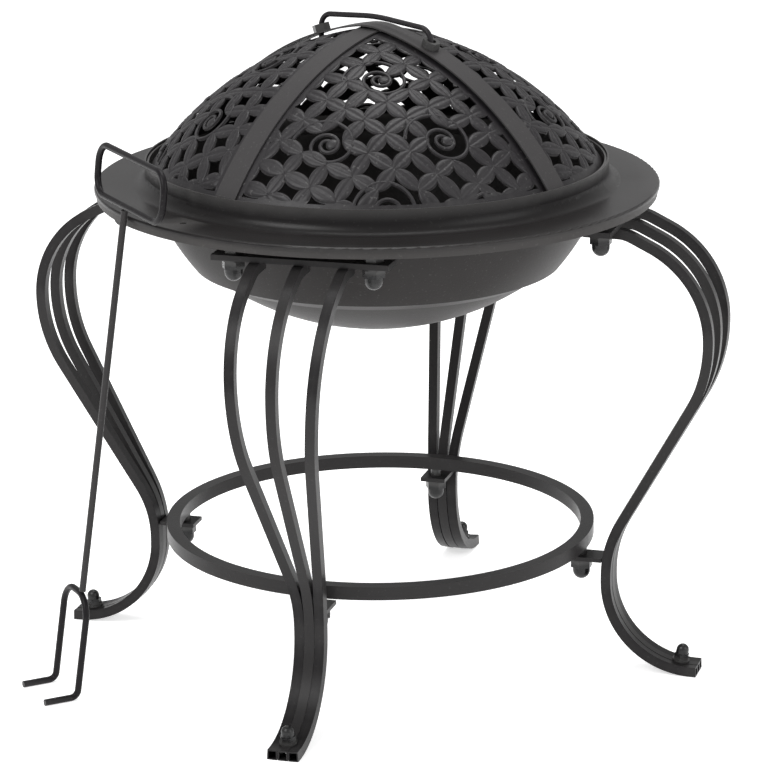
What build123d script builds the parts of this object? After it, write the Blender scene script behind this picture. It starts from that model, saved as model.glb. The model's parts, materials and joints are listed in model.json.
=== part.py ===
"""A steel fire bowl on four legs, with a lift-off spark guard of cut leaf sheet and a poker.

Origin: on the floor, on the axis of the bowl. +Z is up, the front leg points along -Y.
An azimuth is measured from -Y and is positive towards +X. All sizes are in millimetres.
"""

from build123d import *
from math import acos, atan2, cos, degrees, hypot, radians, sin, sqrt
import os

os.makedirs("parts", exist_ok=True)

# Clearances
seat_gap = 0.3          # between pieces that rest on each other
weld_gap = 0.1          # between pieces that are welded or riveted together
thread_gap = 0.1        # between a shank and its nut
shank_clearance = 0.3   # between a shank and its plain hole

# Rim ring: flat flange, turned-down edge and upright collar
rim_radius = 210.0
rim_top = 367.5
rim_sheet = 1.2
rim_edge_drop = 3.0
rim_edge_bend = 1.5
collar_radius = 172.2
collar_top = 385.5
collar_bend = 9.0
rim_hole_radius = 2.5
rim_hole_place = 191.5
rim_hole_azimuth = -29.4

# Bowl: flange and lip under the rim ring, upper wall, step and lower dish
bowl_sheet = 1.2
bowl_lip_bottom = 359.0
wall_sphere = 178.0
wall_centre = 419.0
step_top = 306.0
step_bottom = 299.5
dish_sphere = 207.0
dish_bottom = 259.0

# Guard: an arc turned about the axis, whose centre lies a little past the axis
dome_arc = 243.0
dome_arc_offset = 31.5
dome_apex = 481.5
panel_sheet = 1.0
hoop_sheet = 1.4
hoop_side_gap = 0.6
hoop_height = 17.7
panel_tuck = 3.0
panel_seam = 1.0
panel_side_band = 7.0
panel_foot_band = 2.0
guard_azimuth = 66.0
strap_width = 19.0
strap_sheet = 1.2
strap_crown_bend = 60.0
strap_crossing_rise = 1.1

# Leaf and vine cut in a guard panel
leaf_view_slope = 57.0
leaf_pitch = 21.0
leaf_overlap = 2.6
leaf_width = 11.5
leaf_count = 9
net_wave = 3.2
net_wave_length = 17.0
vine_width = 2.6
vine_first_radius = 4.2
vine_growth = 1.52
vine_half_turns = 5
bud_radius = 4.4
scroll_pitch = 82.0
scroll_row = 58.0
scroll_rise = 27.0
scroll_clear = 15.0
leaf_reach = 155.0

# Guard handle
handle_rod = 4.0
handle_half_span = 53.0
handle_shoulder = 485.8
handle_crown = 490.0
handle_bend = 10.0
handle_crown_bend = 150.0
handle_tail = 11.0
handle_nut_flats = 11.5
handle_nut_height = 5.5
handle_nut_bore = 6.6

# Leg rods: square tube, path corners as (radius, height) with their bend radii
rod_size = 7.4
rod_wall = 1.0
rod_pitch = 7.8
rod_end_depth = 12.0
rod_start_radius = 178.0
shoulder_radius = 197.0
shoulder_bend = 25.0
bulge_radius = 258.5
bulge_top = 315.3
bulge_top_bend = 76.0
bulge_bottom = 238.0
bulge_bottom_bend = 109.0
waist_radius = 179.0
waist_height = 96.5
waist_bend = 83.0
toe_bend = 66.0
toe_end = 249.0
rod_spread_top = 32.7
rod_spread_bulge = 27.3

# Leg brackets
bracket_length = 130.0
bracket_width = 20.0
bracket_sheet = 4.0
bracket_top = 353.0
bracket_place = 183.0
bracket_stud_place = 51.5

# Threaded parts
bolt_m8 = 8.0
bolt_m6 = 6.0
hex_m8_flats = 13.0
hex_m8_height = 6.5
washer_m8_radius = 8.0
washer_m8_sheet = 1.6
cap_m8_flats = 14.5
cap_m8_hex = 5.6
cap_m8_dome = 6.5
cap_m8_total = 15.0
cap_m6_flats = 10.0
cap_m6_hex = 4.5
cap_m6_dome = 4.75
cap_m6_total = 12.0
cap_roof = 2.5
washer_m6_radius = 6.5
washer_m6_sheet = 1.6
foot_nut_slope = 9.0
foot_stud_lift = 1.0

# Base ring and the tabs that carry it
ring_radius = 163.0
ring_bar = 10.0
ring_bottom = 93.0
tab_sheet = 3.0
tab_width = 20.0
tab_top = 87.0
tab_overhang = 10.0

# Poker, leaning on the rim
poker_rod = 5.0
poker_foot_radius = 254.7
poker_foot_azimuth = -51.3
poker_turn = 43.2
poker_side_slope = 0.079
poker_shaft_offset = 9.5
fork_spacing = 43.0
fork_height = 80.0
fork_bend = 17.0
fork_toe = 26.0
fork_toe_bend = 6.0
loop_width = 118.0
loop_height = 36.0
loop_shift = 6.0
loop_bend = 14.0
loop_above_rim = 7.5
shaft_end_gap = 0.5

# Sizes worked out from the ones above
rod_half = rod_size / 2
rod_run_height = bracket_top - bracket_sheet - rod_half
rim_under = rim_top - rim_sheet
flange_top = rim_under - seat_gap
flange_under = flange_top - bowl_sheet
lip_radius = rim_radius - rim_sheet - seat_gap
dish_centre = dish_bottom + dish_sphere
hoop_bottom = flange_top + seat_gap
hoop_top = hoop_bottom + hoop_height
hoop_radius = collar_radius - rim_sheet - hoop_side_gap
hoop_inner = hoop_radius - hoop_sheet
dome_centre = dome_apex - sqrt(dome_arc**2 - dome_arc_offset**2)
panel_foot = hoop_top - panel_tuck
strap_foot = hoop_top + weld_gap
lower_strap_lift = weld_gap
upper_strap_lift = lower_strap_lift + strap_sheet + strap_crossing_rise
ring_line = ring_radius - ring_bar / 2
tall = dome_apex * 2
legs = {"front": 0, "right": 90, "back": 180, "left": 270}
rods = {"left": -1, "middle": 0, "right": 1}


def around(radius, azimuth, height=0.0):
    """The point at a radius and azimuth about the axis."""
    return Vector(radius * sin(radians(azimuth)), -radius * cos(radians(azimuth)), height)


def turned(part, azimuth):
    """A copy of a part made at azimuth 0, turned about the axis."""
    return part.rotate(Axis.Z, azimuth)


def save(part, name):
    """Label a finished piece and write its STEP file."""
    part.label = name
    export_step(part, f"parts/{name}.step")


def on_sphere(sphere, centre, height):
    """Radius from the axis of a sphere's surface at a height."""
    return sqrt(sphere**2 - (centre - height) ** 2)


def dome_slope(height, lift=0.0):
    """Elevation of the guard's normal where its surface passes a height."""
    return degrees(atan2(height - dome_centre, sqrt((dome_arc + lift) ** 2 - (height - dome_centre) ** 2)))


def dome_point(slope, lift=0.0):
    """Radius and height of the guard's outer surface, raised by lift, at a slope."""
    arc = dome_arc + lift
    return arc * cos(radians(slope)) - dome_arc_offset, dome_centre + arc * sin(radians(slope))


def dome_crown(lift=0.0):
    """Slope at which the raised guard surface meets the axis."""
    return degrees(acos(dome_arc_offset / (dome_arc + lift)))


def dome_at_radius(radius, lift=0.0):
    """Slope at which the raised guard surface passes a radius."""
    return degrees(acos((dome_arc_offset + radius) / (dome_arc + lift)))


def dome_arcs(foot, lift, sheet):
    """Outer and inner arc of a sheet on the guard, from the height foot up to the axis."""
    arcs = []
    for surface in (lift + sheet, lift):
        low = dome_slope(foot, surface)
        crown = dome_crown(surface)
        arcs.append([dome_point(slope, surface) for slope in (low, (low + crown) / 2, crown)])
    return arcs


def cap_nut(plane, flats, hex_height, dome, total, bolt):
    """A cap nut whose open face lies on the plane and whose cap points along the plane's normal."""
    corner = flats / sqrt(3)
    with BuildPart() as nut:
        with BuildSketch(plane):
            RegularPolygon(corner, 6)
        extrude(amount=hex_height)
        with BuildSketch(plane.offset(hex_height)):
            Circle(dome)
        extrude(amount=total - hex_height - dome)
        with Locations(plane.offset(total - dome)):
            Sphere(dome)
        with BuildSketch(plane):
            Circle(bolt / 2 + thread_gap)
        extrude(amount=total - cap_roof, mode=Mode.SUBTRACT)
    return nut.part


def hex_nut(plane, flats, height, bore):
    """A plain hexagon nut standing on the plane."""
    with BuildPart() as nut:
        with BuildSketch(plane):
            RegularPolygon(flats / sqrt(3), 6)
            Circle(bore, mode=Mode.SUBTRACT)
        extrude(amount=height)
    return nut.part


def washer(plane, radius, sheet, bolt):
    """A flat washer standing on the plane."""
    with BuildPart() as ring:
        with BuildSketch(plane):
            Circle(radius)
            Circle(bolt / 2 + shank_clearance, mode=Mode.SUBTRACT)
        extrude(amount=sheet)
    return ring.part


def shank(plane, length, bolt):
    """A plain round shank from the plane along its normal."""
    with BuildPart() as rod:
        with BuildSketch(plane):
            Circle(bolt / 2)
        extrude(amount=length)
    return rod.part


def group(pieces):
    """Separate solids of one kind, kept together in one node."""
    return Compound(children=[piece.solid() for piece in pieces])


# Fire bowl
wall_top_radius = on_sphere(wall_sphere, wall_centre, flange_under)
wall_mid = (flange_under + step_top) / 2
dish_edge = on_sphere(dish_sphere, dish_centre, step_bottom)
dish_mid = dish_edge / 2
wall_inner = wall_sphere - bowl_sheet
dish_inner = dish_sphere - bowl_sheet
with BuildPart() as fire_bowl:
    with BuildSketch(Plane.XZ):
        with BuildLine():
            outer_wall = ThreePointArc(
                (wall_top_radius, flange_under),
                (on_sphere(wall_sphere, wall_centre, wall_mid), wall_mid),
                (on_sphere(wall_sphere, wall_centre, step_top), step_top),
            )
            outer_dish = ThreePointArc(
                (dish_edge, step_bottom),
                (dish_mid, dish_centre - sqrt(dish_sphere**2 - dish_mid**2)),
                (0, dish_bottom),
            )
            inner_wall = ThreePointArc(
                (on_sphere(wall_inner, wall_centre, flange_top), flange_top),
                (on_sphere(wall_inner, wall_centre, wall_mid), wall_mid),
                (on_sphere(wall_inner, wall_centre, step_top + bowl_sheet), step_top + bowl_sheet),
            )
            inner_dish = ThreePointArc(
                (on_sphere(dish_inner, dish_centre, step_bottom + bowl_sheet), step_bottom + bowl_sheet),
                (dish_mid, dish_centre - sqrt(dish_inner**2 - dish_mid**2)),
                (0, dish_bottom + bowl_sheet),
            )
            Line(outer_wall @ 1, outer_dish @ 0)
            Line(outer_dish @ 1, inner_dish @ 1)
            Line(inner_dish @ 0, inner_wall @ 1)
            Polyline(
                inner_wall @ 0,
                (lip_radius, flange_top),
                (lip_radius, bowl_lip_bottom),
                (lip_radius - bowl_sheet, bowl_lip_bottom),
                (lip_radius - bowl_sheet, flange_under),
                outer_wall @ 0,
            )
        make_face()
    revolve(axis=Axis.Z)
save(fire_bowl.part, "fire_bowl")

# Rim ring
with BuildPart() as rim_ring:
    with BuildSketch(Plane.XZ) as rim_profile:
        with BuildLine():
            Polyline(
                (collar_radius - rim_sheet, rim_under),
                (rim_radius - rim_sheet, rim_under),
                (rim_radius - rim_sheet, rim_top - rim_edge_drop),
                (rim_radius, rim_top - rim_edge_drop),
                (rim_radius, rim_top),
                (collar_radius, rim_top),
                (collar_radius, collar_top),
                (collar_radius - rim_sheet, collar_top),
                close=True,
            )
        make_face()
        collar_root = rim_profile.vertices().sort_by_distance((collar_radius, rim_top))[0]
        fillet(collar_root, collar_bend)
        collar_back = rim_profile.vertices().sort_by_distance((collar_radius - rim_sheet, rim_under))[0]
        fillet(collar_back, collar_bend + rim_sheet)
        rim_edge = rim_profile.vertices().sort_by_distance((rim_radius, rim_top))[0]
        fillet(rim_edge, rim_edge_bend)
    revolve(axis=Axis.Z)
    with BuildSketch(Plane.XY.offset(rim_under)):
        with Locations(around(rim_hole_place, rim_hole_azimuth)):
            Circle(rim_hole_radius)
    extrude(amount=rim_sheet, mode=Mode.SUBTRACT)
save(rim_ring.part, "rim_ring")

# Guard hoop, inside the collar
with BuildPart() as guard_hoop:
    with BuildSketch(Plane.XY.offset(hoop_bottom)):
        Circle(hoop_radius)
        Circle(hoop_inner, mode=Mode.SUBTRACT)
    extrude(amount=hoop_height)
save(guard_hoop.part, "guard_hoop")

# Leaf and vine drawing, in the plane that touches the middle of a panel
view_radius, view_height = dome_point(leaf_view_slope)
view_normal = Vector(0, -cos(radians(leaf_view_slope)), sin(radians(leaf_view_slope)))
view_plane = Plane(origin=(0, -view_radius, view_height), x_dir=(1, 0, 0), z_dir=view_normal)


def scroll_centres():
    """Centres of the vine scrolls on a staggered grid, wide enough for the panel."""
    centres = []
    for row in range(-2, 3):
        shift = scroll_pitch / 2 if row % 2 else 0
        for column in range(-2, 3):
            centres.append((column * scroll_pitch + shift, row * scroll_row + scroll_rise))
    return centres


def knot(row, column):
    """A knot of the leaf net: a slanted grid, bent by slow waves so that its openings differ."""
    x = (column - row) * leaf_pitch / sqrt(2)
    y = (column + row) * leaf_pitch / sqrt(2)
    return x + net_wave * sin(y / net_wave_length), y + net_wave * cos(x / net_wave_length)


def leaf_places():
    """Middle, direction and length of each leaf: one along each side of each opening of the net."""
    centres = scroll_centres()
    places = []
    for row in range(-leaf_count, leaf_count + 1):
        for column in range(-leaf_count, leaf_count + 1):
            for next_row, next_column in ((row + 1, column), (row, column + 1)):
                x1, y1 = knot(row, column)
                x2, y2 = knot(next_row, next_column)
                x, y = (x1 + x2) / 2, (y1 + y2) / 2
                nearest = min(hypot(x - c[0], y - c[1]) for c in centres)
                if nearest > scroll_clear and hypot(x, y) < leaf_reach:
                    length = hypot(x2 - x1, y2 - y1) + leaf_overlap
                    places.append((x, y, degrees(atan2(y2 - y1, x2 - x1)), length))
    return places


def leaf_face(place):
    """One leaf: two arcs from its stalk to its tip."""
    x, y, direction, length = place
    with BuildSketch() as leaf:
        with BuildLine():
            ThreePointArc((-length / 2, 0), (0, leaf_width / 2), (length / 2, 0))
            ThreePointArc((length / 2, 0), (0, -leaf_width / 2), (-length / 2, 0))
        make_face()
    return leaf.sketch.moved(Location((x, y, 0), (0, 0, direction))).face()


def scroll_face(centre):
    """One vine: half circles that grow outward from a bud."""
    with BuildSketch() as vine:
        with BuildLine() as spiral:
            arc = JernArc((0, 0), (0, 1), vine_first_radius, 180)
            radius = vine_first_radius
            for _ in range(vine_half_turns - 1):
                radius = radius * vine_growth
                arc = JernArc(arc @ 1, arc % 1, radius, 180)
        trace(spiral.line, vine_width)
        Circle(bud_radius)
    return vine.sketch.moved(Location((centre[0], centre[1], 0)))


drawing = Sketch() + [leaf_face(place) for place in leaf_places()]
drawing += [scroll_face(centre) for centre in scroll_centres() if hypot(*centre) < leaf_reach]
print("leaf drawing", len(drawing.faces()), "faces", round(drawing.area))

# Guard panels: one curved gore, cut right through, at four places
side_cut = (strap_width / 2 + panel_side_band / 2) * sqrt(2)
with BuildPart() as leaf_blank:
    with BuildSketch(Plane.XY.offset(panel_foot + panel_tuck + panel_foot_band)):
        Polygon((0, -side_cut), (tall, -side_cut - tall), (-tall, -side_cut - tall), align=None)
    extrude(amount=tall)
    with BuildSketch(view_plane.offset(-view_height)):
        add(drawing)
    extrude(amount=tall, mode=Mode.SUBTRACT)

seam_cut = panel_seam / sqrt(2)
crown_hole = strap_width / 2 - weld_gap
panel_outer, panel_inner = dome_arcs(panel_foot, -panel_sheet, panel_sheet)
with BuildPart() as panel:
    with BuildSketch(Plane.XZ):
        with BuildLine():
            outer = ThreePointArc(*panel_outer)
            inner = ThreePointArc(*panel_inner)
            Line(outer @ 0, inner @ 0)
            Line(outer @ 1, inner @ 1)
        make_face()
    revolve(axis=Axis.Z)
    with BuildSketch(Plane.XY):
        Polygon((0, -seam_cut), (tall, -seam_cut - tall), (-tall, -seam_cut - tall), align=None)
        Circle(hoop_inner - weld_gap, mode=Mode.INTERSECT)
        Circle(crown_hole, mode=Mode.SUBTRACT)
    extrude(amount=tall, mode=Mode.INTERSECT)
    add(leaf_blank.part, mode=Mode.SUBTRACT)
    for side in (-1, 1):
        with BuildSketch(Plane.XY):
            with Locations(around(handle_half_span, side * 45)):
                Circle(handle_nut_bore / 2)
        extrude(amount=tall, mode=Mode.SUBTRACT)
panel_solid = panel.part.solids().sort_by(SortBy.VOLUME)[-1]
print("panel", len(panel.part.solids()), "solids", len(panel_solid.faces()), "faces")
for number in range(4):
    save(turned(Part(panel_solid.wrapped), guard_azimuth + 45 + 90 * number), f"guard_panel_{number + 1}")


def guard_strap(lift, azimuth, hole):
    """A flat strap bent over the dome, from hoop to hoop, holed for the handle."""
    outer_points, inner_points = dome_arcs(strap_foot, lift, strap_sheet)
    with BuildPart() as strap:
        with BuildSketch(Plane.YZ) as strap_profile:
            with BuildLine():
                outer = ThreePointArc(*outer_points)
                inner = ThreePointArc(*inner_points)
                Line(outer @ 0, inner @ 0)
                Line(outer @ 1, inner @ 1)
            make_face()
            mirror(about=Plane.YZ)
            crowns = strap_profile.vertices().filter_by(lambda v: abs(v.X) < weld_gap)
            fillet(crowns, strap_crown_bend)
        extrude(amount=strap_width / 2, both=True)
        with BuildSketch(Plane.XY):
            Circle(hoop_radius)
        extrude(amount=tall, mode=Mode.INTERSECT)
        if hole:
            with BuildSketch(Plane.XY):
                with Locations((0, handle_half_span), (0, -handle_half_span)):
                    Circle(handle_nut_bore / 2)
            extrude(amount=tall, mode=Mode.SUBTRACT)
    return turned(strap.part, azimuth)


save(guard_strap(lower_strap_lift, guard_azimuth - 90, False), "guard_strap_lower")
save(guard_strap(upper_strap_lift, guard_azimuth, True), "guard_strap_upper")

# Guard handle: a bent rod whose ends pass down through the upper strap
nut_lift = upper_strap_lift + strap_sheet
nut_slope = dome_at_radius(handle_half_span, nut_lift)
nut_radius, nut_height = dome_point(nut_slope, nut_lift)
handle_end = nut_height - handle_tail
with BuildPart() as guard_handle:
    with BuildLine(Plane.YZ):
        FilletPolyline(
            (-handle_half_span, handle_end),
            (-handle_half_span, handle_shoulder),
            (0, handle_crown),
            (handle_half_span, handle_shoulder),
            (handle_half_span, handle_end),
            radius=[handle_bend, handle_crown_bend, handle_bend],
        )
    with BuildSketch(Plane.XY.offset(handle_end)):
        with Locations((0, -handle_half_span)):
            Circle(handle_rod / 2)
    sweep()
save(turned(guard_handle.part, guard_azimuth), "guard_handle")

handle_nuts = []
for facing in (0, 180):
    for lift, way in ((nut_lift + weld_gap, 1), (-panel_sheet - weld_gap, -1)):
        slope = dome_at_radius(handle_half_span, lift)
        slope = dome_at_radius(handle_half_span - way * handle_nut_height / 2 * cos(radians(slope)), lift)
        place_radius, place_height = dome_point(slope, lift)
        nut_plane = Plane(
            origin=(0, -place_radius, place_height),
            x_dir=(1, 0, 0),
            z_dir=(0, -cos(radians(slope)) * way, sin(radians(slope)) * way),
        )
        sunk = dome_arc - sqrt(dome_arc**2 - (handle_nut_flats / 2) ** 2) if way < 0 else 0
        nut = hex_nut(nut_plane.offset(sunk), handle_nut_flats, handle_nut_height, handle_nut_bore / 2)
        handle_nuts.append(turned(nut, guard_azimuth + facing))
save(group(handle_nuts), "guard_handle_nuts")

# Foot fasteners stand square to the curved top of the toe
foot_centre_radius = waist_radius + toe_bend
foot_centre_height = rod_half + toe_bend
foot_lean = Vector(0, -sin(radians(foot_nut_slope)), cos(radians(foot_nut_slope)))
foot_top_arc = toe_bend - rod_half
foot_seat = sqrt(foot_top_arc**2 - washer_m6_radius**2)
foot_axis = Vector(0, -foot_centre_radius, foot_centre_height)
foot_plane = Plane(origin=foot_axis - foot_lean * foot_seat, x_dir=(1, 0, 0), z_dir=foot_lean)
foot_stud_foot = toe_bend + rod_half - foot_stud_lift
foot_stud_plane = Plane(origin=foot_axis - foot_lean * foot_stud_foot, x_dir=(1, 0, 0), z_dir=foot_lean)


def leg_rod(side):
    """One rod of the front leg, from its bracket down to its toe."""
    top = side * rod_spread_top
    bulge = side * rod_spread_bulge
    low = side * rod_pitch
    with BuildPart() as rod:
        with BuildLine():
            FilletPolyline(
                (top, -rod_start_radius, rod_run_height),
                (top, -shoulder_radius, rod_run_height),
                (top, -bulge_radius, bulge_top),
                (bulge, -bulge_radius, bulge_bottom),
                (low, -waist_radius, waist_height),
                (low, -waist_radius, rod_half),
                (low, -toe_end, rod_half),
                radius=[shoulder_bend, bulge_top_bend, bulge_bottom_bend, waist_bend, toe_bend],
            )
        start = Plane(origin=(top, -rod_start_radius, rod_run_height), x_dir=(1, 0, 0), z_dir=(0, -1, 0))
        with BuildSketch(start):
            Rectangle(rod_size, rod_size)
        sweep()
        toe_plane = Plane(origin=(low, -toe_end, rod_half), x_dir=(1, 0, 0), z_dir=(0, 1, 0))
        with BuildSketch(toe_plane):
            Rectangle(rod_size - 2 * rod_wall, rod_size - 2 * rod_wall)
        extrude(amount=rod_end_depth, mode=Mode.SUBTRACT)
        if side == 0:
            with BuildSketch(foot_stud_plane):
                Circle(bolt_m6 / 2 + shank_clearance)
            extrude(amount=tab_top, both=True, mode=Mode.SUBTRACT)
    return rod.part


front_rods = {rod_name: leg_rod(side) for rod_name, side in rods.items()}
for leg_name, azimuth in legs.items():
    for rod_name in rods:
        save(turned(front_rods[rod_name], azimuth), f"{leg_name}_leg_{rod_name}_rod")

# Leg brackets
bracket_bottom = bracket_top - bracket_sheet
with BuildPart() as bracket:
    with BuildSketch(Plane.XY.offset(bracket_bottom)):
        with Locations((0, -bracket_place)):
            Rectangle(bracket_length, bracket_width)
        with Locations((-bracket_stud_place, -bracket_place), (bracket_stud_place, -bracket_place)):
            Circle(bolt_m8 / 2 + shank_clearance, mode=Mode.SUBTRACT)
    extrude(amount=bracket_sheet)
for leg_name, azimuth in legs.items():
    save(turned(bracket.part, azimuth), f"{leg_name}_leg_bracket")

# Bracket fasteners, two to a leg
bracket_studs = []
bracket_hex_nuts = []
bracket_washers = []
bracket_cap_nuts = []
for azimuth in legs.values():
    for side in (-1, 1):
        spot = (side * bracket_stud_place, -bracket_place)
        down = Plane(origin=(*spot, bracket_bottom), x_dir=(1, 0, 0), z_dir=(0, 0, -1))
        up = Plane(origin=(*spot, bracket_top))
        stud_top = Plane(origin=(*spot, flange_under), x_dir=(1, 0, 0), z_dir=(0, 0, -1))
        stud_bottom = bracket_bottom - washer_m8_sheet - cap_m8_total + cap_roof + thread_gap
        stud = shank(stud_top, flange_under - stud_bottom, bolt_m8)
        nut = hex_nut(up, hex_m8_flats, hex_m8_height, bolt_m8 / 2 + thread_gap)
        flat = washer(down, washer_m8_radius, washer_m8_sheet, bolt_m8)
        cap = cap_nut(down.offset(washer_m8_sheet), cap_m8_flats, cap_m8_hex, cap_m8_dome, cap_m8_total, bolt_m8)
        bracket_studs.append(turned(stud, azimuth))
        bracket_hex_nuts.append(turned(nut, azimuth))
        bracket_washers.append(turned(flat, azimuth))
        bracket_cap_nuts.append(turned(cap, azimuth))
save(group(bracket_studs), "bracket_studs")
save(group(bracket_hex_nuts), "bracket_hex_nuts")
save(group(bracket_washers), "bracket_washers")
save(group(bracket_cap_nuts), "bracket_cap_nuts")

# Base ring
with BuildPart() as base_ring:
    with BuildSketch(Plane.XY.offset(ring_bottom)):
        Circle(ring_radius)
        Circle(ring_radius - ring_bar, mode=Mode.SUBTRACT)
    extrude(amount=ring_bar)
save(base_ring.part, "base_ring")

# Tabs that carry the base ring, one on each middle rod
tab_outer = waist_radius - rod_half
tab_inner = ring_line - tab_overhang
with BuildPart() as ring_tab:
    with BuildSketch(Plane.XY.offset(tab_top - tab_sheet)):
        with Locations((0, -(tab_outer + tab_inner) / 2)):
            Rectangle(tab_width, tab_outer - tab_inner)
        with Locations((0, -ring_line)):
            Circle(bolt_m8 / 2 + shank_clearance, mode=Mode.SUBTRACT)
    extrude(amount=tab_sheet)
for leg_name, azimuth in legs.items():
    save(turned(ring_tab.part, azimuth), f"{leg_name}_ring_tab")

# Ring fasteners: a stud under the ring, a washer and a cap nut under the tab
ring_studs = []
ring_washers = []
ring_cap_nuts = []
for azimuth in legs.values():
    under_ring = Plane(origin=(0, -ring_line, ring_bottom), x_dir=(1, 0, 0), z_dir=(0, 0, -1))
    under_tab = under_ring.offset(ring_bottom - tab_top + tab_sheet)
    stud_length = ring_bottom - tab_top + tab_sheet + washer_m8_sheet + cap_m8_total - cap_roof - thread_gap
    cap = cap_nut(under_tab.offset(washer_m8_sheet), cap_m8_flats, cap_m8_hex, cap_m8_dome, cap_m8_total, bolt_m8)
    ring_studs.append(turned(shank(under_ring, stud_length, bolt_m8), azimuth))
    ring_washers.append(turned(washer(under_tab, washer_m8_radius, washer_m8_sheet, bolt_m8), azimuth))
    ring_cap_nuts.append(turned(cap, azimuth))
save(group(ring_studs), "ring_studs")
save(group(ring_washers), "ring_washers")
save(group(ring_cap_nuts), "ring_cap_nuts")

# Foot fasteners: a stud through the middle rod, a washer and a cap nut on the toe
foot_studs = []
foot_washers = []
foot_cap_nuts = []
for azimuth in legs.values():
    stud_length = foot_stud_foot - foot_seat + washer_m6_sheet + cap_m6_total - cap_roof - thread_gap
    cap = cap_nut(foot_plane.offset(washer_m6_sheet), cap_m6_flats, cap_m6_hex, cap_m6_dome, cap_m6_total, bolt_m6)
    foot_studs.append(turned(shank(foot_stud_plane, stud_length, bolt_m6), azimuth))
    foot_washers.append(turned(washer(foot_plane, washer_m6_radius, washer_m6_sheet, bolt_m6), azimuth))
    foot_cap_nuts.append(turned(cap, azimuth))
save(group(foot_studs), "foot_studs")
save(group(foot_washers), "foot_washers")
save(group(foot_cap_nuts), "foot_cap_nuts")

# Poker: its flat plane leans in until the shaft lies on the rim
poker_half = poker_rod / 2
poker_foot = around(poker_foot_radius, poker_foot_azimuth)
poker_across = around(1, poker_turn)
poker_inward = Vector(0, 0, 1).cross(poker_across)
rim_spot = poker_foot + poker_across * (poker_shaft_offset + poker_side_slope * rim_top)
rim_touch = rim_radius + poker_half + seat_gap
reach = rim_spot.dot(poker_inward)
lean_in = -reach - sqrt(reach**2 - rim_spot.dot(rim_spot) + rim_touch**2)
lean_slope = lean_in / rim_top


def poker_point(across, height):
    """A point of the poker's leaning plane, across from its middle at a height."""
    return poker_foot + poker_across * across + poker_inward * (lean_slope * height) + Vector(0, 0, height)


loop_foot = rim_top + loop_above_rim
loop_top = loop_foot + loop_height
loop_middle = poker_shaft_offset + poker_side_slope * loop_foot + loop_shift
loop_side = loop_width / 2
with BuildPart() as poker_loop:
    with BuildLine() as loop_line:
        FilletPolyline(
            poker_point(loop_middle + loop_side, loop_foot),
            poker_point(loop_middle + loop_side, loop_top),
            poker_point(loop_middle - loop_side, loop_top),
            poker_point(loop_middle - loop_side, loop_foot),
            radius=loop_bend,
            close=True,
        )
    with BuildSketch(Plane(origin=loop_line.line @ 0, z_dir=loop_line.line % 0)):
        Circle(poker_half)
    sweep()
save(poker_loop.part, "poker_loop")

shaft_past_bend = max(0, poker_shaft_offset - fork_spacing / 2 + fork_bend)
fork_drop = fork_bend - sqrt(fork_bend**2 - shaft_past_bend**2)
shaft_foot = fork_height + poker_half + shaft_end_gap - fork_drop
shaft_top = loop_foot - poker_half - shaft_end_gap
shaft_low = poker_point(poker_shaft_offset + poker_side_slope * shaft_foot, shaft_foot)
shaft_high = poker_point(poker_shaft_offset + poker_side_slope * shaft_top, shaft_top)
with BuildPart() as poker_shaft:
    with BuildSketch(Plane(origin=shaft_low, z_dir=shaft_high - shaft_low)):
        Circle(poker_half)
    extrude(amount=(shaft_high - shaft_low).length)
save(poker_shaft.part, "poker_shaft")


def tine(side):
    """Toe, heel and top of one tine of the fork."""
    heel = poker_point(side * fork_spacing / 2, poker_half)
    top = poker_point(side * fork_spacing / 2 + poker_side_slope * fork_height, fork_height)
    return heel - poker_inward * fork_toe, heel, top


toe_left, heel_left, top_left = tine(-1)
toe_right, heel_right, top_right = tine(1)
with BuildPart() as poker_fork:
    with BuildLine():
        FilletPolyline(
            toe_left,
            heel_left,
            top_left,
            top_right,
            heel_right,
            toe_right,
            radius=[fork_toe_bend, fork_bend, fork_bend, fork_toe_bend],
        )
    with BuildSketch(Plane(origin=toe_left, z_dir=heel_left - toe_left)):
        Circle(poker_half)
    sweep()
save(poker_fork.part, "poker_fork")
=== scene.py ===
"""Looks for a steel fire bowl with a lift-off leaf-pattern spark guard and a poker.

Metres, in the part's own frame: the front leg points along -Y, the floor is at z = 0.
"""

import json
import math

import bmesh
import bpy
import numpy as np
from mathutils import Matrix, Vector


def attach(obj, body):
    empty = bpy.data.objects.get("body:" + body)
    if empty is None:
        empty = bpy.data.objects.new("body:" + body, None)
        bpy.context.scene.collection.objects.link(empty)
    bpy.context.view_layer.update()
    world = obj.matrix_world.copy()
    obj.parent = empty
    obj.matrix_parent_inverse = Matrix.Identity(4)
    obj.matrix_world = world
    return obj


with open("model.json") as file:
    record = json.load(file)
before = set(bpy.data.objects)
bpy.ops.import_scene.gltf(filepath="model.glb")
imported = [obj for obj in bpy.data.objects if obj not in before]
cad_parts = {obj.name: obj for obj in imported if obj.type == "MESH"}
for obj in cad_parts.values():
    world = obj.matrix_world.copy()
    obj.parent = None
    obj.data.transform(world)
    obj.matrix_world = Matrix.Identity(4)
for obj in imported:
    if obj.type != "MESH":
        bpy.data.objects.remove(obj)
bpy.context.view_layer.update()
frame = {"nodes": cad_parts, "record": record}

mm = 0.001

# Camera of the photograph, worked out in a frame turned by camera_turn about the axis
camera_turn = math.radians(16.5)
camera_place = Vector((3.8, -2676.5, 993.8)) * mm
camera_pitch = math.radians(16.359)
camera_roll = math.radians(0.546)
camera_lens = 172.9
sensor_width = 36.0

# The guard: an arc turned about the axis, whose centre lies a little past the axis
dome_arc = 243.0
dome_arc_offset = 31.5
dome_apex = 481.5
dome_centre = dome_apex - math.sqrt(dome_arc**2 - dome_arc_offset**2)
guard_azimuth = 66.0
strap_width = 19.0
panel_side_band = 7.0
field_foot = 386.0

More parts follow.
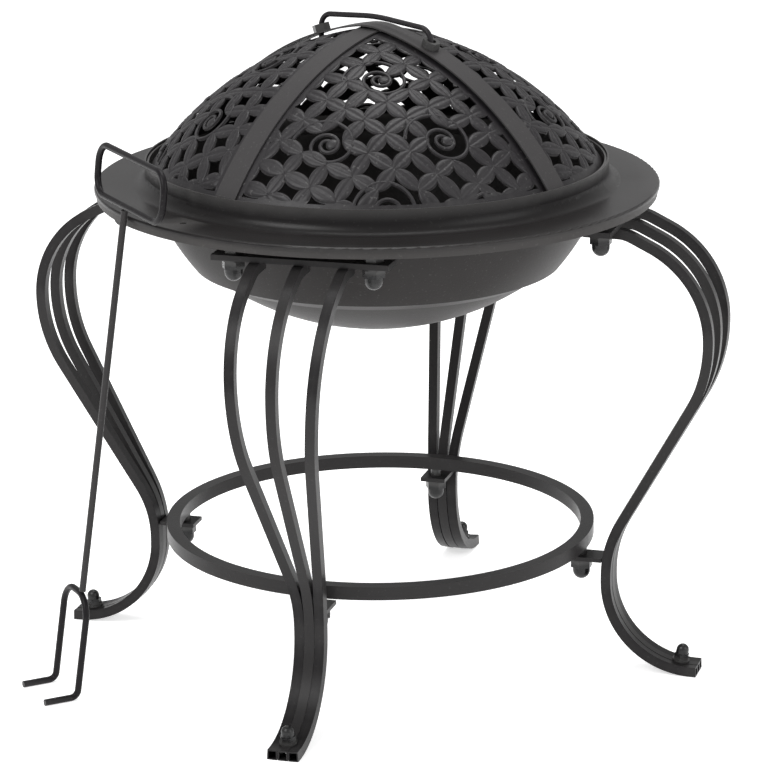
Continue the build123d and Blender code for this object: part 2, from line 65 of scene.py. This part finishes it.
# Leaf and vine drawing, as cut in the panels
leaf_view_slope = math.radians(57.0)
leaf_pitch = 21.0
leaf_overlap = 2.6
leaf_width = 11.5
leaf_count = 9
net_wave = 3.2
net_wave_length = 17.0
vine_width = 2.6
vine_first_radius = 4.2
vine_growth = 1.52
vine_half_turns = 5
bud_radius = 4.4
scroll_pitch = 82.0
scroll_row = 58.0
scroll_rise = 27.0
scroll_clear = 15.0
leaf_reach = 155.0

# Relief of the pressed leaves, above the sheet
leaf_crown = 0.9
leaf_groove = 0.7
groove_width = 0.2
vine_crown = 1.0
bud_crown = 1.6
sunk = -0.3
field_fade = 3.0
crown_across = 0.6
crown_along = 0.5
vein_height = 0.16
vein_count = 2.6
vein_slant = 0.9
leaf_step = 0.25
least_width = 0.02
edge_limit = 0.999

# Grids of points on one leaf, vine and bud
leaf_rows = 15
leaf_columns = 13
vine_columns = 7
vine_first_steps = 10
vine_more_steps = 6
bud_rows = 11

# Search for the guard's surface along the drawing's normal
search_low = -120.0
search_high = 60.0
search_steps = 40

# Colours laid over the black paint
speck_colour = (0.19, 0.185, 0.18, 1)
# Lighter colour for pointy edges: rubbed paint wear together with a painted edge highlight
worn_and_highlight_colour = (0.2, 0.195, 0.19, 1)
# Lighter colour on upward-facing faces: dust together with painted light falling on the tops
dust_and_top_light_colour = (0.17, 0.165, 0.155, 1)
blotch_grey = 0.16


def node_tree(name):
    """A new material with its shader and output, and a helper that adds nodes."""
    material = bpy.data.materials.new(name)
    material.use_nodes = True
    tree = material.node_tree
    shader = tree.nodes["Principled BSDF"]

    def add(kind, **values):
        node = tree.nodes.new(kind)
        for key, value in values.items():
            if hasattr(node, key):
                setattr(node, key, value)
            else:
                node.inputs[key.replace("_", " ")].default_value = value
        return node

    return material, tree, shader, add


def heat_paint(name, colour, light, roughness, speck, edge_wear_and_highlight, specular, grain=900.0, dust_and_top_light=0.0):
    """Black heat paint: fine orange-peel grain, pale specks, soft blotches, and rubbed edges that also carry
    a painted edge highlight; where asked, dust together with painted light on upward-facing faces.
    """
    material, tree, shader, add = node_tree(name)
    link = tree.links.new
    place = add("ShaderNodeTexCoord")
    blotch = add("ShaderNodeTexNoise", Scale=9.0, Detail=4.0, Roughness=0.6)
    link(place.outputs["Object"], blotch.inputs["Vector"])
    fine = add("ShaderNodeTexNoise", Scale=grain, Detail=2.0, Roughness=0.7)
    link(place.outputs["Object"], fine.inputs["Vector"])
    specks = add("ShaderNodeTexNoise", Scale=grain * 0.55, Detail=1.0, Roughness=0.5)
    link(place.outputs["Object"], specks.inputs["Vector"])

    blotch_ramp = add("ShaderNodeValToRGB")
    blotch_ramp.color_ramp.elements[0].position = 0.35
    blotch_ramp.color_ramp.elements[1].position = 0.7
    blotch_ramp.color_ramp.elements[0].color = (*colour, 1)
    lighter = [c * (1 - light) + blotch_grey * light for c in colour]
    blotch_ramp.color_ramp.elements[1].color = (*lighter, 1)
    link(blotch.outputs["Fac"], blotch_ramp.inputs["Fac"])

    speck_ramp = add("ShaderNodeValToRGB")
    speck_ramp.color_ramp.elements[0].position = 0.66
    speck_ramp.color_ramp.elements[1].position = 0.74
    speck_ramp.color_ramp.elements[0].color = (0, 0, 0, 1)
    speck_ramp.color_ramp.elements[1].color = (speck, speck, speck, 1)
    link(specks.outputs["Fac"], speck_ramp.inputs["Fac"])
    specked = add("ShaderNodeMix", data_type="RGBA")
    specked.inputs["B"].default_value = speck_colour
    link(speck_ramp.outputs["Color"], specked.inputs["Factor"])
    link(blotch_ramp.outputs["Color"], specked.inputs["A"])

    # Pointy convex edges are lightened: rubbed paint wear and a painted edge highlight along the edges
    edges = add("ShaderNodeNewGeometry")
    edge_wear_and_highlight_ramp = add("ShaderNodeValToRGB")
    edge_wear_and_highlight_ramp.color_ramp.elements[0].position = 0.52
    edge_wear_and_highlight_ramp.color_ramp.elements[1].position = 0.6
    edge_wear_and_highlight_ramp.color_ramp.elements[0].color = (0, 0, 0, 1)
    edge_wear_and_highlight_ramp.color_ramp.elements[1].color = (edge_wear_and_highlight, edge_wear_and_highlight, edge_wear_and_highlight, 1)
    link(edges.outputs["Pointiness"], edge_wear_and_highlight_ramp.inputs["Fac"])
    worn_and_painted_light = add("ShaderNodeMix", data_type="RGBA")
    worn_and_painted_light.inputs["B"].default_value = worn_and_highlight_colour
    link(edge_wear_and_highlight_ramp.outputs["Color"], worn_and_painted_light.inputs["Factor"])
    link(specked.outputs["Result"], worn_and_painted_light.inputs["A"])

    # Upward-facing faces are lightened by their normal's height: dust and painted top light
    if dust_and_top_light:
        split = add("ShaderNodeSeparateXYZ")
        link(edges.outputs["Normal"], split.inputs["Vector"])
        dust_and_top_light_mask = add("ShaderNodeMath", operation="MULTIPLY", use_clamp=True)
        dust_and_top_light_mask.inputs[1].default_value = dust_and_top_light
        link(split.outputs["Z"], dust_and_top_light_mask.inputs[0])
        dusted_and_top_lit = add("ShaderNodeMix", data_type="RGBA")
        dusted_and_top_lit.inputs["B"].default_value = dust_and_top_light_colour
        link(dust_and_top_light_mask.outputs["Value"], dusted_and_top_lit.inputs["Factor"])
        link(worn_and_painted_light.outputs["Result"], dusted_and_top_lit.inputs["A"])
        worn_and_painted_light = dusted_and_top_lit
    link(worn_and_painted_light.outputs["Result"], shader.inputs["Base Color"])

    rough_ramp = add("ShaderNodeMapRange", To_Min=roughness - 0.07, To_Max=roughness + 0.09)
    link(blotch.outputs["Fac"], rough_ramp.inputs["Value"])
    link(rough_ramp.outputs["Result"], shader.inputs["Roughness"])
    bump = add("ShaderNodeBump", Strength=0.25, Distance=0.0004)
    link(fine.outputs["Fac"], bump.inputs["Height"])
    link(bump.outputs["Normal"], shader.inputs["Normal"])
    shader.inputs["Specular IOR Level"].default_value = specular
    return material


# The edge amount paints rubbed edge wear together with an edge highlight
paints = {}
for paint_name, colour, light, roughness, finish in (
    ("frame_black", (0.0062, 0.0054, 0.0062), 0.02, 0.32, dict(speck=0.05, edge_wear_and_highlight=0.1, specular=0.12)),
    ("bowl_black", (0.0165, 0.0145, 0.0142), 0.05, 0.45, dict(speck=0.1, edge_wear_and_highlight=0.15, specular=0.16)),
    # The rim's upward faces get dust together with painted top light
    ("rim_black", (0.0075, 0.0064, 0.0068), 0.02, 0.3, dict(speck=0.05, edge_wear_and_highlight=0.25, specular=0.18, dust_and_top_light=0.04)),
    (
        "leaf_grey",
        (0.0145, 0.0128, 0.0145),
        0.08,
        0.4,
        dict(speck=0.25, edge_wear_and_highlight=0.12, specular=0.3, grain=700.0),
    ),
    ("strap_black", (0.0125, 0.0108, 0.0125), 0.04, 0.4, dict(speck=0.12, edge_wear_and_highlight=0.15, specular=0.22)),
    ("poker_black", (0.0075, 0.0064, 0.0075), 0.03, 0.34, dict(speck=0.08, edge_wear_and_highlight=0.12, specular=0.14)),
    ("fastener_black", (0.008, 0.008, 0.0085), 0.03, 0.26, dict(speck=0.05, edge_wear_and_highlight=0.2, specular=0.35)),
):
    paints[paint_name] = heat_paint(paint_name, colour, light, roughness, **finish)

for entry in frame["record"]["subparts"]:
    node = frame["nodes"][entry["node"]]
    node.data.materials.clear()
    node.data.materials.append(paints[entry["material_slot"]])


def scroll_centres():
    """Centres of the vine scrolls on a staggered grid."""
    centres = []
    for row in range(-2, 3):
        shift = scroll_pitch / 2 if row % 2 else 0
        for column in range(-2, 3):
            centres.append((column * scroll_pitch + shift, row * scroll_row + scroll_rise))
    return centres


def knot(row, column):
    """A knot of the leaf net: a slanted grid, bent by slow waves."""
    x = (column - row) * leaf_pitch / math.sqrt(2)
    y = (column + row) * leaf_pitch / math.sqrt(2)
    return x + net_wave * math.sin(y / net_wave_length), y + net_wave * math.cos(x / net_wave_length)


def leaf_places():
    """Middle, direction and length of each leaf: one along each side of each opening of the net."""
    centres = scroll_centres()
    places = []
    for row in range(-leaf_count, leaf_count + 1):
        for column in range(-leaf_count, leaf_count + 1):
            for next_row, next_column in ((row + 1, column), (row, column + 1)):
                x1, y1 = knot(row, column)
                x2, y2 = knot(next_row, next_column)
                x, y = (x1 + x2) / 2, (y1 + y2) / 2
                nearest = min(math.hypot(x - c[0], y - c[1]) for c in centres)
                if nearest > scroll_clear and math.hypot(x, y) < leaf_reach:
                    length = math.hypot(x2 - x1, y2 - y1) + leaf_overlap
                    places.append((x, y, math.atan2(y2 - y1, x2 - x1), length))
    return places


# The plane of the drawing touches the guard at the middle of a panel at azimuth 0
view_radius = dome_arc * math.cos(leaf_view_slope) - dome_arc_offset
view_height = dome_centre + dome_arc * math.sin(leaf_view_slope)
view_origin = np.array([0.0, -view_radius, view_height])
view_normal = np.array([0.0, -math.cos(leaf_view_slope), math.sin(leaf_view_slope)])
view_x = np.array([1.0, 0.0, 0.0])
view_y = np.cross(view_normal, view_x)


def on_guard(x, y, lift):
    """Points of the drawing thrown onto the guard's surface and raised by lift, in millimetres."""
    base = view_origin + x[:, None] * view_x + y[:, None] * view_y
    low = np.full(len(x), search_low)
    high = np.full(len(x), search_high)
    for _ in range(search_steps):
        middle = (low + high) / 2
        point = base + middle[:, None] * view_normal
        radius = np.hypot(point[:, 0], point[:, 1]) + dome_arc_offset
        outside = np.hypot(radius, point[:, 2] - dome_centre) > dome_arc
        high = np.where(outside, middle, high)
        low = np.where(outside, low, middle)
    point = base + low[:, None] * view_normal
    flat = np.hypot(point[:, 0], point[:, 1])
    side = (flat + dome_arc_offset) / np.maximum(flat, 1e-6)
    normal = np.stack([point[:, 0] * side, point[:, 1] * side, point[:, 2] - dome_centre], 1) / dome_arc
    across = (-point[:, 1] - np.abs(point[:, 0])) / math.sqrt(2) - (strap_width + panel_side_band) / 2
    inside = np.minimum(across, point[:, 2] - field_foot)
    fade = np.clip(inside / field_fade, 0, 1)
    raised = sunk + (lift - sunk) * fade
    return point + normal * raised[:, None], inside


class Relief:
    """Closed crowned shapes gathered into one mesh on the guard."""

    def __init__(self):
        self.points = []
        self.faces = []

    def sheet(self, x, y, lift):
        """Adds one closed shape: a grid of drawing points with its lift, and a flat back below it."""
        rows, columns = x.shape
        top, inside = on_guard(x.ravel(), y.ravel(), lift.ravel())
        if inside.max() <= 0:
            return
        back, _ = on_guard(x.ravel(), y.ravel(), np.full(x.size, sunk))
        start = len(self.points)
        self.points.extend(top * mm)
        edge = np.zeros((rows, columns), bool)
        edge[0] = edge[-1] = True
        edge[:, 0] = edge[:, -1] = True
        back_index = np.arange(rows * columns).reshape(rows, columns) + start
        spare = len(self.points)
        for row in range(rows):
            for column in range(columns):
                if not edge[row, column]:
                    back_index[row, column] = spare
                    self.points.append(back[row * columns + column] * mm)
                    spare += 1
        within = inside.reshape(rows, columns) > 0
        for row in range(rows - 1):
            for column in range(columns - 1):
                if not within[row : row + 2, column : column + 2].any():
                    continue
                a = start + row * columns + column
                self.faces.append((a, a + 1, a + columns + 1, a + columns))
                b = back_index
                corner = (b[row, column], b[row + 1, column], b[row + 1, column + 1], b[row, column + 1])
                self.faces.append(corner)

    def build(self, name, azimuth):
        """The gathered shapes as one smooth object, turned to its panel."""
        mesh = bpy.data.meshes.new(name)
        faces = [tuple(int(i) for i in face) for face in self.faces]
        mesh.from_pydata([tuple(p) for p in self.points], [], faces)
        mesh.transform(Matrix.Rotation(math.radians(azimuth), 4, "Z"))
        tidy = bmesh.new()
        tidy.from_mesh(mesh)
        bmesh.ops.delete(tidy, geom=[v for v in tidy.verts if not v.link_faces], context="VERTS")
        tidy.to_mesh(mesh)
        tidy.free()
        mesh.shade_smooth()
        mesh.materials.append(paints["leaf_grey"])
        piece = bpy.data.objects.new(name, mesh)
        bpy.context.collection.objects.link(piece)
        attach(piece, "spark_guard")
        return piece


def add_leaf(relief, place, order):
    """One pressed leaf: crowned blades either side of a grooved midrib, with side veins."""
    along = np.linspace(-1, 1, leaf_rows)
    over = np.linspace(-1, 1, leaf_columns)
    half = place[3] / 2
    bow = (half**2 + (leaf_width / 2) ** 2) / leaf_width
    width = np.sqrt(bow**2 - (along * half) ** 2) - (bow - leaf_width / 2)
    s, t = np.meshgrid(along, over, indexing="ij")
    x = s * half
    y = t * np.maximum(width, least_width)[:, None]
    crown = leaf_crown * (1 - t**2) ** crown_across * (1 - s**2) ** crown_along
    rib = leaf_groove * np.exp(-((t / groove_width) ** 2)) * (1 - s**4)
    wave = np.cos((s * vein_count + np.abs(t) * vein_slant) * math.pi * 2)
    veins = vein_height * wave * (1 - t**2) * (1 - s**2)
    lift = crown - rib + veins + leaf_step * (order % 2)
    edge = (np.abs(t) > edge_limit) | (np.abs(s) > edge_limit)
    lift = np.where(edge, sunk, lift)
    cosine = math.cos(place[2])
    sine = math.sin(place[2])
    relief.sheet(place[0] + x * cosine - y * sine, place[1] + x * sine + y * cosine, lift)


def add_vine(relief, centre):
    """One vine: a half-round ridge along half circles that grow outward from a bud."""
    points = []
    end = np.array([0.0, 0.0])
    radius = vine_first_radius
    turn = 1
    for half_turn in range(vine_half_turns):
        middle = end + np.array([-radius * turn, 0.0])
        steps = vine_first_steps + vine_more_steps * half_turn
        for step in range(steps):
            angle = math.pi * step / steps
            points.append(middle + radius * turn * np.array([math.cos(angle), math.sin(angle)]))
        end = middle - np.array([radius * turn, 0.0])
        turn = -turn
        radius = radius * vine_growth
    points.append(end)
    line = np.array(points)
    tangent = np.gradient(line, axis=0)
    tangent /= np.linalg.norm(tangent, axis=1)[:, None]
    side = np.stack([-tangent[:, 1], tangent[:, 0]], 1)
    over = np.linspace(-1, 1, vine_columns)
    x = centre[0] + line[:, 0:1] + side[:, 0:1] * over * vine_width / 2
    y = centre[1] + line[:, 1:2] + side[:, 1:2] * over * vine_width / 2
    lift = np.tile(vine_crown * np.sqrt(1 - over**2), (len(line), 1))
    lift[:, 0] = lift[:, -1] = sunk
    lift[0] = lift[-1] = sunk
    relief.sheet(x, y, lift)


def add_bud(relief, centre):
    """The round bud in the middle of a vine."""
    grid = np.linspace(-1, 1, bud_rows)
    u, v = np.meshgrid(grid, grid, indexing="ij")
    x = bud_radius * u * np.sqrt(1 - v**2 / 2)
    y = bud_radius * v * np.sqrt(1 - u**2 / 2)
    away = np.hypot(x, y) / bud_radius
    lift = bud_crown * np.sqrt(np.clip(1 - away**2, 0, 1))
    edge = (np.abs(u) > edge_limit) | (np.abs(v) > edge_limit)
    relief.sheet(centre[0] + x, centre[1] + y, np.where(edge, sunk, lift))


relief = Relief()
for order, place in enumerate(leaf_places()):
    add_leaf(relief, place, order)
for centre in scroll_centres():
    if math.hypot(*centre) < leaf_reach:
        add_vine(relief, centre)
        add_bud(relief, centre)
for number in range(4):
    relief.build(f"leaf_relief_{number + 1}", guard_azimuth + 45 + 90 * number)


# Floor, light and camera
def soft_light(name, place, target, size, power):
    """A large square soft light."""
    data = bpy.data.lights.new(name, "AREA")
    data.size = size
    data.energy = power
    lamp = bpy.data.objects.new(name, data)
    lamp.location = place
    lamp.rotation_euler = (Vector(target) - Vector(place)).to_track_quat("-Z", "Y").to_euler()
    bpy.context.collection.objects.link(lamp)


floor_half = 6.0
floor_mesh = bpy.data.meshes.new("floor")
corners = [
    (-floor_half, -floor_half, 0),
    (floor_half, -floor_half, 0),
    (floor_half, floor_half, 0),
    (-floor_half, floor_half, 0),
]
floor_mesh.from_pydata(corners, [], [(0, 1, 2, 3)])
floor = bpy.data.objects.new("floor", floor_mesh)
bpy.context.collection.objects.link(floor)
floor_material, _, floor_shader, _ = node_tree("pale_floor")
floor_shader.inputs["Base Color"].default_value = (0.94, 0.94, 0.94, 1)
floor_shader.inputs["Roughness"].default_value = 0.7
floor_shader.inputs["Emission Color"].default_value = (1, 1, 1, 1)
floor_shader.inputs["Emission Strength"].default_value = 0.6
floor_mesh.materials.append(floor_material)

world = bpy.data.worlds.new("studio")
bpy.context.scene.world = world
world.use_nodes = True
background = world.node_tree.nodes["Background"]
background.inputs["Color"].default_value = (1, 1, 1, 1)
seen = world.node_tree.nodes.new("ShaderNodeLightPath")
strength = world.node_tree.nodes.new("ShaderNodeMapRange")
strength.inputs["To Min"].default_value = 0.55
strength.inputs["To Max"].default_value = 1.0
world.node_tree.links.new(seen.outputs["Is Camera Ray"], strength.inputs["Value"])
world.node_tree.links.new(strength.outputs["Result"], background.inputs["Strength"])

turn = Matrix.Rotation(camera_turn, 4, "Z")
middle = (0, 0, 0.3)
soft_light("key_light", turn @ Vector((-1.6, -1.4, 2.2)), middle, 1.4, 40)
soft_light("fill_light", turn @ Vector((1.9, -1.2, 1.2)), middle, 1.6, 16)
soft_light("top_light", turn @ Vector((0.1, 0.5, 2.4)), middle, 1.2, 22)

forward = Vector((0, math.cos(camera_pitch), -math.sin(camera_pitch)))
right = Vector((1, 0, 0))
up = Vector((0, math.sin(camera_pitch), math.cos(camera_pitch)))
rolled_right = right * math.cos(camera_roll) - up * math.sin(camera_roll)
rolled_up = right * math.sin(camera_roll) + up * math.cos(camera_roll)
axes = Matrix((rolled_right, rolled_up, -forward)).transposed().to_4x4()
camera_data = bpy.data.cameras.new("camera")
camera_data.lens = camera_lens
camera_data.sensor_width = sensor_width
camera_data.clip_end = 100
camera = bpy.data.objects.new("camera", camera_data)
camera.matrix_world = turn @ Matrix.Translation(camera_place) @ axes
bpy.context.collection.objects.link(camera)
bpy.context.scene.camera = camera
bpy.context.scene.view_settings.view_transform = "Standard"
